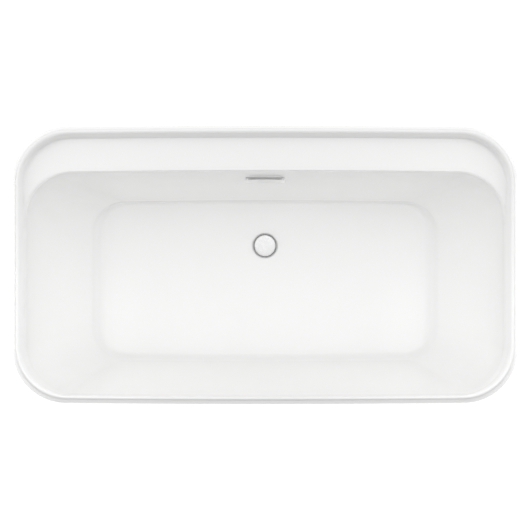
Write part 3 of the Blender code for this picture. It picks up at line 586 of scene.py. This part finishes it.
def rounded(points, radius, steps=5):
    """A profile whose inner corners are rounded with short arcs."""
    result = [points[0]]
    for before, here, after in zip(points, points[1:], points[2:]):
        a, b, c = Vector(before), Vector(here), Vector(after)
        cut = min(radius, (a - b).length * 0.45, (c - b).length * 0.45)
        start = b + (a - b).normalized() * cut
        finish = b + (c - b).normalized() * cut
        for step in range(steps + 1):
            t = step / steps
            result.append(tuple(start * (1 - t) ** 2 + b * 2 * t * (1 - t) + finish * t * t))
    result.append(points[-1])
    return result


def make_drain():
    """Flange with its dished seat and spider, and the stopper that closes it."""
    low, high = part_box("drain_seal")[1].z + 0.0003, FLANGE_HIGH
    bore, thread = 0.0195, 0.0225
    edge = (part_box("drain_flange")[1].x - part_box("drain_flange")[0].x) / 2
    seat = rounded([(0.0232, low), (edge, low), (edge, high - 0.0014), (edge - 0.0012, high),
                    (edge - 0.0026, high), (edge - 0.0062, high - 0.0022), (0.0240, high - 0.0024),
                    (bore, high - 0.0048), (bore, FLANGE_LOW), (thread, FLANGE_LOW), (thread, low)],
                   0.0010, 4)
    # The flange is plated metal whose darker grey is painted shade for the gap round the cap.
    turned("drain_flange_painted_shade", seat, CHROME_WITH_PAINTED_SHADE, "tub", "chrome", "drain_flange",
           centre=(DRAIN.x, DRAIN.y, 0.0), closed=True, steps=96)
    make_spider(bore)

    cap_low, cap_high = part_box("stopper_cap")
    radius = (cap_high.x - cap_low.x) / 2
    height = cap_high.z - cap_low.z
    dome = [(0.0, cap_high.z)]
    dome_steps = 14
    for step in range(1, dome_steps + 1):
        part = step / dome_steps
        dome.append((0.033 * part, cap_high.z - 0.0010 * part ** 4))
    dome += bezier(dome[-1], (0.0352, cap_high.z - 0.0013), (radius, cap_high.z - 0.0020),
                   (radius, cap_low.z + 0.0018), 8)
    dome += bezier(dome[-1], (radius, cap_low.z + 0.0006), (radius - 0.0006, cap_low.z),
                   (radius - 0.0016, cap_low.z), 5)
    dome.append((0.0, cap_low.z))
    turned("stopper_cap_satin", dome, SATIN_CHROME, "stopper", "chrome", "stopper_cap",
           centre=(DRAIN.x, DRAIN.y, 0.0), steps=96)


def make_spider(bore):
    """Four webs in the flange, with the hub that guides the stem."""
    hub_bore, hub_radius, hub_low, hub_high = 0.0048, 0.0080, 0.096, 0.108
    web_start = 0.0065
    web_reach = bore + 0.0006
    web_width, web_height, web_z = 0.003, 0.006, 0.101
    bm = bmesh.new()
    for turn in (0, 90, 180, 270):
        web = bmesh.ops.create_cube(bm, size=1.0)["verts"]
        matrix = (Matrix.Translation((DRAIN.x, DRAIN.y, web_z))
                  @ Matrix.Rotation(math.radians(turn), 4, "Z")
                  @ Matrix.Translation(((web_start + web_reach) / 2, 0.0, 0.0))
                  @ Matrix.Diagonal((web_reach - web_start, web_width, web_height, 1.0)))
        bmesh.ops.transform(bm, matrix=matrix, verts=web)
    new_piece("drain_spider", bm, CHROME, "tub", "chrome")
    profile = [(hub_bore, hub_low), (hub_radius, hub_low), (hub_radius, hub_high), (hub_bore, hub_high)]
    turned("drain_hub", profile, CHROME, "tub", "chrome", centre=(DRAIN.x, DRAIN.y, 0.0),
           closed=True, steps=32)


# Feet

def bore_ring(radius, z, steps):
    return [Vector((radius * math.cos(a), radius * math.sin(a), z))
            for a in (2 * math.pi * step / steps for step in range(steps))]


def hex_ring(flats, limit, z, steps):
    """A hexagon whose points reach no further than limit, as the chamfer leaves it."""
    ring = []
    for step in range(steps):
        angle = 2 * math.pi * step / steps
        off_flat = (angle + math.pi / 6) % (math.pi / 3) - math.pi / 6
        radius = min(flats / 2 / math.cos(off_flat), limit)
        ring.append(Vector((radius * math.cos(angle), radius * math.sin(angle), z)))
    return ring


def make_hex_nut(node, bore):
    """A chamfered nut in the place of its node, with countersunk thread ends."""
    low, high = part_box(node)
    steps, sink = 96, 0.0010
    flats = high.x - low.x
    corner = (high.x - low.x) / 2 / math.cos(math.pi / 6)
    chamfer = corner - flats / 2
    drop = 0.5 * chamfer
    rings = []
    for z, face in ((low.z, 1), (high.z, -1)):
        outer = [hex_ring(flats, flats / 2 - 0.0002, z, steps),
                 hex_ring(flats, flats / 2 + 0.4 * chamfer, z + face * 0.4 * drop, steps),
                 hex_ring(flats, flats / 2 + 0.8 * chamfer, z + face * 0.9 * drop, steps),
                 hex_ring(flats, corner, z + face * 1.3 * drop, steps)]
        inner = [bore_ring(bore, z + face * sink, steps), bore_ring(bore + sink, z, steps)]
        side = inner + outer
        rings += side if face > 0 else side[::-1]
    bm = bmesh.new()
    bridge(bm, rings, closed=True)
    centre = (low + high) / 2
    bm.transform(Matrix.Translation((centre.x, centre.y, 0.0)))
    new_piece(f"{node}_turned", bm, ZINC, "tub", "zinc_steel", node, sharp=30)


def make_foot(number):
    """A threaded stud pressed into a ribbed rubber pad; both ride on the foot."""
    body = f"foot_{number}"
    low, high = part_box(f"foot_stud_{number}")
    radius, pitch = (high.x - low.x) / 2, 0.00175
    at = ((low.x + high.x) / 2, (low.y + high.y) / 2, 0.0)
    depth = 0.6 * pitch
    stud = [(0.0, low.z), (radius, low.z), (radius, low.z + 0.010)]
    z = stud[-1][1]
    while z + pitch < high.z - 0.002:
        stud += [(radius - depth, z + 0.35 * pitch), (radius - depth, z + 0.5 * pitch),
                 (radius, z + 0.85 * pitch), (radius, z + pitch)]
        z += pitch
    stud += [(radius, high.z - 0.0015), (radius - 0.0015, high.z), (0.0, high.z)]
    turned(f"stud_{number}_threaded", stud, ZINC, body, "zinc_steel", f"foot_stud_{number}", centre=at,
           steps=40, sharp=25)

    pad_low, pad_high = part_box(f"foot_pad_{number}")
    pad_radius = (pad_high.x - pad_low.x) / 2
    neck, socket = 0.013, radius + 0.0003
    pad = [(0.0, pad_low.z + 0.0012), (0.009, pad_low.z + 0.0012), (0.0095, pad_low.z)]
    groove = 0.0030
    ring = 0.0125
    while ring + groove < pad_radius - 0.002:
        pad += [(ring, pad_low.z), (ring + 0.0003, pad_low.z + 0.0010),
                (ring + 0.0009, pad_low.z + 0.0010), (ring + 0.0012, pad_low.z)]
        ring += groove
    pad += [(pad_radius - 0.002, pad_low.z)]
    pad += bezier(pad[-1], (pad_radius - 0.0006, pad_low.z), (pad_radius, pad_low.z + 0.0006),
                  (pad_radius, pad_low.z + 0.002), 5)
    pad += bezier(pad[-1], (pad_radius, 0.0065), (pad_radius - 0.001, 0.0072),
                  (pad_radius - 0.003, 0.0076), 5)
    pad += bezier(pad[-1], (neck + 0.003, 0.0090), (neck, 0.0105), (neck - 0.001, 0.0140), 8)
    pad += bezier(pad[-1], (neck - 0.0015, pad_high.z - 0.001), (neck - 0.002, pad_high.z),
                  (neck - 0.0035, pad_high.z), 5)
    pad += [(socket, pad_high.z), (socket, low.z - 0.0003), (0.0, low.z - 0.0003)]
    turned(f"pad_{number}_ribbed", pad, RUBBER, body, "pad_rubber", f"foot_pad_{number}", centre=at,
           steps=72, sharp=35)

    for node in (f"foot_weld_nut_{number}", f"foot_jam_nut_{number}"):
        make_hex_nut(node, radius + 0.0003)
    refined(f"foot_tab_{number}", 0.0012)


# Plates, tubes and straps keep their frame shape and get rounded edges

def refined(node, bevel, segments=3):
    """A copy of a CAD node with its sharp edges rounded."""
    source = frame["nodes"][node]
    slot_name = SLOTS[node]
    obj = link_object(f"{node}_eased", source.data.copy())
    obj.data.materials.clear()
    smooth(obj, 30, SLOT_MATERIALS[slot_name])
    edges = obj.modifiers.new("edges", "BEVEL")
    edges.width = bevel
    edges.segments = segments
    edges.limit_method = "ANGLE"
    edges.angle_limit = math.radians(40)
    edges.harden_normals = True
    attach(obj, BODIES[node])
    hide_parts(node)


# Pipes

def swept_pipe(name, stations, mat, slot_name, node, steps=64):
    """A pipe in the plane x = 0. Each station is (y, z, outer radius, bore radius)."""
    outer, bore = [], []
    side = Vector((1.0, 0.0, 0.0))
    for index, (y, z, radius, hollow) in enumerate(stations):
        before, after = stations[max(index - 1, 0)], stations[min(index + 1, len(stations) - 1)]
        along = Vector((0.0, after[0] - before[0], after[1] - before[1])).normalized()
        up = along.cross(side)
        for ring, size in ((outer, radius), (bore, hollow)):
            ring.append([Vector((0.0, y, z)) + side * size * math.cos(turn) + up * size * math.sin(turn)
                         for turn in (2 * math.pi * step / steps for step in range(steps))])
    bm = bmesh.new()
    bridge(bm, outer + bore[::-1], closed=True)
    return new_piece(name, bm, mat, "tub", slot_name, node, sharp=30)


def straight_pipe(node, axis):
    """A plain pipe in the place of its node, with eased ends."""
    low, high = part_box(node)
    radius = (high.x - low.x) / 2
    bore, ease = radius - 0.003, 0.0006
    centre = (low + high) / 2
    half = (high[axis] - low[axis]) / 2
    profile = [(bore + ease, -half), (radius - ease, -half), (radius, ease - half), (radius, half - ease),
               (radius - ease, half), (bore + ease, half), (bore, half - ease), (bore, ease - half)]
    turned(f"{node}_round", profile, PIPE_PLASTIC, "tub", "pipe_plastic", node, centre=centre,
           axis="YZ"[axis - 1], closed=True, steps=64)


def slip_nut(node, axis, flip=False):
    """A nut with finger ribs and a chamfered collar, in the place of its node."""
    low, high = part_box(node)
    radius, length = (high.x - low.x) / 2, high[axis] - low[axis]
    bore, ribs, steps = 0.0178, 16, 192

    def ribbed(size, depth, z):
        ring = []
        for step in range(steps):
            angle = 2 * math.pi * step / steps
            wave = 0.5 + 0.5 * math.cos(ribs * angle)
            reach = size - depth * (1 - wave ** 0.35)
            ring.append(Vector((reach * math.cos(angle), reach * math.sin(angle), z)))
        return ring

    collar = radius - 0.004
    rings = [bore_ring(bore, 0.0008, steps), bore_ring(bore + 0.0008, 0.0, steps),
             ribbed(radius - 0.0006, 0.0012, 0.0), ribbed(radius, 0.0018, 0.0006),
             ribbed(radius, 0.0018, length - 0.0042), ribbed(radius - 0.0008, 0.0012, length - 0.0034),
             ribbed(collar + 0.0010, 0.0, length - 0.0030), ribbed(collar, 0.0, length - 0.0020),
             ribbed(collar - 0.0006, 0.0, length), bore_ring(bore + 0.0008, length, steps),
             bore_ring(bore, length - 0.0008, steps)]
    bm = bmesh.new()
    bridge(bm, rings, closed=True)
    centre = (low + high) / 2
    turn = Matrix.Rotation(math.radians(-90), 4, "X") if axis == 1 else Matrix.Identity(4)
    mirror = Matrix.Rotation(math.pi, 4, "X") if flip else Matrix.Identity(4)
    bm.transform(Matrix.Translation(centre) @ turn @ mirror @ Matrix.Translation((0, 0, -length / 2)))
    new_piece(f"{node}_ribbed", bm, NUT_PLASTIC, "tub", "nut_plastic", node, sharp=35)


def make_shoe():
    """The brass elbow under the drain, from its flange round to the waste pipe's socket."""
    low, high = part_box("drain_shoe")
    waste_z = (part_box("waste_pipe")[0].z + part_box("waste_pipe")[1].z) / 2
    bend, steps = 0.034, 16
    bend_z = waste_z + bend
    rim, body, tube, bore = (high.x - low.x) / 2, 0.029, 0.024, 0.0234
    stations = [(DRAIN.y, high.z, rim - 0.0008, bore), (DRAIN.y, high.z - 0.0008, rim, bore),
                (DRAIN.y, high.z - 0.0052, rim, bore), (DRAIN.y, high.z - 0.0060, rim - 0.0008, bore),
                (DRAIN.y, high.z - 0.0064, body, bore), (DRAIN.y, bend_z + 0.010, body, bore),
                (DRAIN.y, bend_z + 0.004, body - 0.001, bore - 0.001)]
    for step in range(steps + 1):
        angle = math.radians(90 * step / steps)
        stations.append((DRAIN.y + bend * (1 - math.cos(angle)), bend_z - bend * math.sin(angle),
                         tube, 0.0185))
    socket, socket_bore = 0.022, 0.0178
    stations += [(high.y - 0.0200, waste_z, socket, 0.0182),
                 (high.y - 0.0100, waste_z, socket, socket_bore),
                 (high.y - 0.0006, waste_z, socket, socket_bore),
                 (high.y, waste_z, socket - 0.0006, socket_bore)]
    swept_pipe("drain_shoe_cast", stations, BRASS, "brass", "drain_shoe")


def make_pipework():
    make_shoe()
    straight_pipe("waste_pipe", 1)
    straight_pipe("outlet_stub", 1)
    straight_pipe("overflow_pipe", 2)
    slip_nut("waste_nut_front", 1)
    slip_nut("waste_nut_back", 1, flip=True)
    slip_nut("outlet_nut", 1)
    slip_nut("overflow_nut", 2)
    refined("waste_tee", 0.0008)


# Overflow

def wall_frame():
    """The frame of the back wall at the overflow: across, up the wall and out towards the tub.

    It lies on the flat strip of the CAD wall that holds the overflow's height.
    """
    strips, overflow_z = 5, 0.430

    def wall_point(part):
        y = lerp(DECK_FRONT_Y, CREASE_BACK, SIDE_SLOPE * part + (1 - SIDE_SLOPE) * part ** 2)
        return Vector((0.0, y, lerp(OPENING_Z, CREASE_Z, part)))

    strip = 0
    while wall_point((strip + 1) / strips).z > overflow_z:
        strip += 1
    upper, lower = wall_point(strip / strips), wall_point((strip + 1) / strips)
    up = (upper - lower).normalized()
    across = Vector((1.0, 0.0, 0.0))
    centre = lower.lerp(upper, (overflow_z - lower.z) / (upper.z - lower.z))
    rotation = Matrix((across, up, across.cross(up))).transposed().to_4x4()
    return Matrix.Translation(centre) @ rotation


def rounded_rectangle(width, height, radius, z, steps=8):
    points = []
    for quarter, (x, y) in enumerate(((1, 1), (-1, 1), (-1, -1), (1, -1))):
        for step in range(steps + 1):
            angle = math.radians(90 * quarter + 90 * step / steps)
            points.append(Vector((x * (width / 2 - radius) + radius * math.cos(angle),
                                  y * (height / 2 - radius) + radius * math.sin(angle), z)))
    return points


def cutter(name, bm):
    """A helper solid for Booleans, kept out of the picture and the model."""
    obj = mesh_object(name, bm)
    obj.hide_render = True
    obj.hide_viewport = True
    return obj


def cut(target, tool, solver="EXACT"):
    modifier = target.modifiers.new(tool.name, "BOOLEAN")
    modifier.operation = "DIFFERENCE"
    modifier.solver = solver
    modifier.object = tool


def make_trim(frame_matrix):
    """The overflow's cover: a rounded box on the wall, open at the back, with a slot in its top."""
    width, height, depth, wall, gap = 0.130, 0.034, 0.010, 0.0025, 0.0003
    round_edge, corner, steps = 0.0018, 0.0050, 6
    rings = [rounded_rectangle(width, height, corner, gap)]
    for step in range(steps + 1):
        angle = math.radians(90 * step / steps)
        inset = round_edge * (1 - math.cos(angle))
        rings.append(rounded_rectangle(width - 2 * inset, height - 2 * inset, corner - inset,
                                       depth - round_edge * (1 - math.sin(angle))))
    bm = bmesh.new()
    loops = bridge(bm, rings)
    bm.faces.new(loops[-1])
    inner = [rounded_rectangle(width - 2 * wall, height - 2 * wall, corner - wall + 0.001, z)
             for z in (gap, depth - wall)]
    inner_loops = bridge(bm, inner)
    bm.faces.new(inner_loops[-1])
    for i in range(len(loops[0])):
        j = (i + 1) % len(loops[0])
        bm.faces.new((loops[0][i], loops[0][j], inner_loops[0][j], inner_loops[0][i]))
    bm.transform(frame_matrix)
    trim = new_piece("overflow_trim_eased", bm, BRUSHED_CHROME, "tub", "chrome", "overflow_trim", sharp=35)

    slot_width, slot_depth, slot_middle = 0.114, 0.0034, 0.0048
    slot = bmesh.new()
    rings = [rounded_rectangle(slot_width, slot_depth, slot_depth / 2 - 0.0002, z)
             for z in (height / 2 - 2 * wall, height / 2 + wall)]
    loops = bridge(slot, rings)
    slot.faces.new(loops[0][::-1])
    slot.faces.new(loops[1])
    lay = Matrix.Translation((0, 0, slot_middle)) @ Matrix.Rotation(math.radians(-90), 4, "X")
    slot.transform(frame_matrix @ lay)
    bmesh.ops.recalc_face_normals(slot, faces=slot.faces)
    cut(trim, cutter("cut_trim_slot", slot))


def make_screw(name, node, frame_matrix, side):
    """A pan-head screw with a slot across its head."""
    tip, head, radius, head_radius, dome = -0.0186, 0.0023, 0.0020, 0.0038, 0.0022
    from_middle = 0.043
    profile = [(0.0, tip), (radius, tip + 0.001), (radius, head), (head_radius, head),
               (head_radius, head + 0.0008)]
    profile += bezier(profile[-1], (head_radius, head + 0.0018), (0.6 * head_radius, head + dome),
                      (0.0, head + dome), 8)
    screw = turned(name, profile, ZINC, "tub", "zinc_steel", node, steps=48)
    matrix = frame_matrix @ Matrix.Translation((side * from_middle, 0.0, 0.0))
    screw.data.transform(matrix)
    slot = bmesh.new()
    bmesh.ops.create_cube(slot, size=1.0)
    slot.transform(matrix @ Matrix.Translation((0, 0, head + dome))
                   @ Matrix.Diagonal((3 * head_radius, 0.0010, 0.0024, 1.0)))
    cut(screw, cutter(f"cut_{name}", slot))


def make_overflow(basin):
    matrix = wall_frame()
    make_trim(matrix)
    make_screw("overflow_screw_left_slotted", "overflow_screw_left", matrix, -1)
    make_screw("overflow_screw_right_slotted", "overflow_screw_right", matrix, 1)
    refined("overflow_retainer", 0.0004)
    refined("overflow_gasket", 0.0004)
    refined("overflow_body", 0.0012)
    hole_width, hole_height, hole_depth = 0.070, 0.018, 0.040
    hole = bmesh.new()
    bmesh.ops.create_cube(hole, size=1.0)
    hole.transform(matrix @ Matrix.Diagonal((hole_width, hole_height, hole_depth, 1.0)))
    cut(basin, cutter("cut_wall_hole", hole), "MANIFOLD")


# Seals and the stopper's stem

def make_seals():
    """Rings of square section with eased edges."""
    for node, bore in (("drain_seal", 0.0275), ("drain_gasket", 0.0228), ("stopper_seal", 0.0270)):
        low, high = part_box(node)
        radius = (high.x - low.x) / 2
        ease = 0.25 * (high.z - low.z)
        section = [(bore, low.z + ease), (bore + ease, low.z), (radius - ease, low.z), (radius, low.z + ease),
                   (radius, high.z - ease), (radius - ease, high.z), (bore + ease, high.z),
                   (bore, high.z - ease)]
        turned(f"{node}_eased", section, RUBBER, BODIES[node], "seal_rubber", node,
               centre=(DRAIN.x, DRAIN.y, 0.0), closed=True, steps=96)


def make_stem():
    low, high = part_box("stopper_stem")
    radius, shoulder, shoulder_z = 0.0043, (high.x - low.x) / 2, 0.1095
    ease = 0.0006
    profile = [(0.0, low.z), (radius - ease, low.z), (radius, low.z + ease), (radius, low.z + 0.0030),
               (radius - 0.0007, low.z + 0.0034), (radius - 0.0007, low.z + 0.0050), (radius, low.z + 0.0054),
               (radius, shoulder_z), (shoulder - ease, shoulder_z), (shoulder, shoulder_z + ease),
               (shoulder, high.z), (0.0, high.z)]
    turned("stopper_stem_turned", profile, BRASS, "stopper", "brass", "stopper_stem",
           centre=(DRAIN.x, DRAIN.y, 0.0), steps=48)


def make_frame():
    for node in ("rail_front", "rail_back", "cross_rail_1", "cross_rail_2", "cross_rail_3", "cross_rail_4"):
        refined(node, 0.0016)
    for number in range(1, 5):
        make_foot(number)
        refined(f"shell_bracket_{number}", 0.0009)
        make_shell_screw(number)
    refined("floor_board", 0.0020)


def make_shell_screw(number):
    """A pan-head screw down through the bracket and the shell's flange."""
    node = f"shell_screw_{number}"
    low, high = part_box(node)
    radius, head_radius = 0.0020, (high.x - low.x) / 2
    head = high.z - 0.0030
    profile = [(0.0, low.z), (radius, low.z + 0.001), (radius, head), (head_radius, head),
               (head_radius, head + 0.0012)]
    profile += bezier(profile[-1], (head_radius, head + 0.0024), (0.6 * head_radius, high.z),
                      (0.0, high.z), 8)
    turned(f"{node}_turned", profile, ZINC, "tub", "zinc_steel", node,
           centre=((low.x + high.x) / 2, (low.y + high.y) / 2, 0.0), steps=40)


def carry_over():
    """Every CAD node that still shows gets its finished material."""
    for name, obj in frame["nodes"].items():
        obj.data.materials.clear()
        obj.data.materials.append(SLOT_MATERIALS[SLOTS[name]])


# Studio

def make_floor():
    """A plain pale sweep that is lit evenly, so the object stands on clean white."""
    mesh = bpy.data.meshes.new("studio_floor")
    reach = 30.0
    mesh.from_pydata([(-reach, -reach, 0), (reach, -reach, 0), (reach, reach, 0), (-reach, reach, 0)], [],
                     [(0, 1, 2, 3)])
    floor = link_object("studio_floor", mesh)
    mat = bpy.data.materials.new("studio_white")
    mat.use_nodes = True
    shader = mat.node_tree.nodes["Principled BSDF"]
    shader.inputs["Base Color"].default_value = (0.15, 0.15, 0.15, 1.0)
    shader.inputs["Roughness"].default_value = 0.9
    shader.inputs["Specular IOR Level"].default_value = 0.0
    shader.inputs["Emission Color"].default_value = (1.0, 1.0, 1.0, 1.0)
    shader.inputs["Emission Strength"].default_value = FLOOR_GLOW
    floor.data.materials.append(mat)
    floor.visible_diffuse = False
    floor.visible_glossy = False


def area_light(name, place, size, power):
    """A soft rectangular light aimed at the tub, seen by neither the camera nor the gloss."""
    data = bpy.data.lights.new(name, "AREA")
    data.shape = "RECTANGLE"
    data.size, data.size_y = size
    data.energy = power
    light = link_object(name, data)
    light.location = place
    light.rotation_euler = (AIM - Vector(place)).to_track_quat("-Z", "Y").to_euler()
    light.visible_camera = False
    light.visible_glossy = False
    return light


def make_world():
    """A studio that glows behind and above the tub, and in patches from below on its four sides."""
    world = bpy.data.worlds.new("studio")
    world.use_nodes = True
    tree = world.node_tree
    background = tree.nodes["Background"]
    background.inputs["Color"].default_value = (1.0, 1.0, 1.0, 1.0)
    coordinates = tree.nodes.new("ShaderNodeTexCoord")
    total = None
    for direction, start, full, strength in WORLD_SIDES:
        towards = tree.nodes.new("ShaderNodeVectorMath")
        towards.operation = "DOT_PRODUCT"
        towards.inputs[1].default_value = direction
        tree.links.new(coordinates.outputs["Generated"], towards.inputs[0])
        glow = tree.nodes.new("ShaderNodeMapRange")
        glow.inputs["From Min"].default_value = start
        glow.inputs["From Max"].default_value = full
        glow.inputs["To Max"].default_value = strength
        tree.links.new(towards.outputs["Value"], glow.inputs["Value"])
        if total is None:
            total = glow.outputs["Result"]
            continue
        add = tree.nodes.new("ShaderNodeMath")
        tree.links.new(total, add.inputs[0])
        tree.links.new(glow.outputs["Result"], add.inputs[1])
        total = add.outputs["Value"]
    tree.links.new(total, background.inputs["Strength"])
    bpy.context.scene.world = world


def make_lights():
    """The side fills, and a weak light over each end of the well."""
    for name, place, size, power in LIGHTS:
        area_light(name, place, size, power)
    for number, x in enumerate(WELL_XS, 1):
        well = area_light(f"well_fill_{number}", (x, WELL_Y, WELL_HEIGHT), WELL_SIZE, WELL_POWER)
        well.rotation_euler = (0.0, 0.0, 0.0)
        well.data.spread = math.radians(WELL_SPREAD)


def make_camera():
    """Straight down from far away, so the tub's plan fills the frame as it would on a data sheet."""
    distance = 15.0
    frame_width = 1.7565
    sensor = 36.0
    data = bpy.data.cameras.new("camera")
    data.sensor_width = sensor
    data.lens = sensor * distance / frame_width
    data.clip_end = 100.0
    camera = link_object("camera", data)
    camera.location = (0.0, 0.0, TOP_Z + distance)
    camera.rotation_euler = (0.0, 0.0, 0.0)
    bpy.context.scene.camera = camera


def main():
    scene = bpy.context.scene
    scene.view_settings.view_transform = "Standard"
    make_camera()
    make_floor()
    make_world()
    make_lights()
    carry_over()
    basin = make_basin()
    make_outer_skin()
    make_drain()
    make_seals()
    make_stem()
    make_overflow(basin)
    make_pipework()
    make_frame()


main()
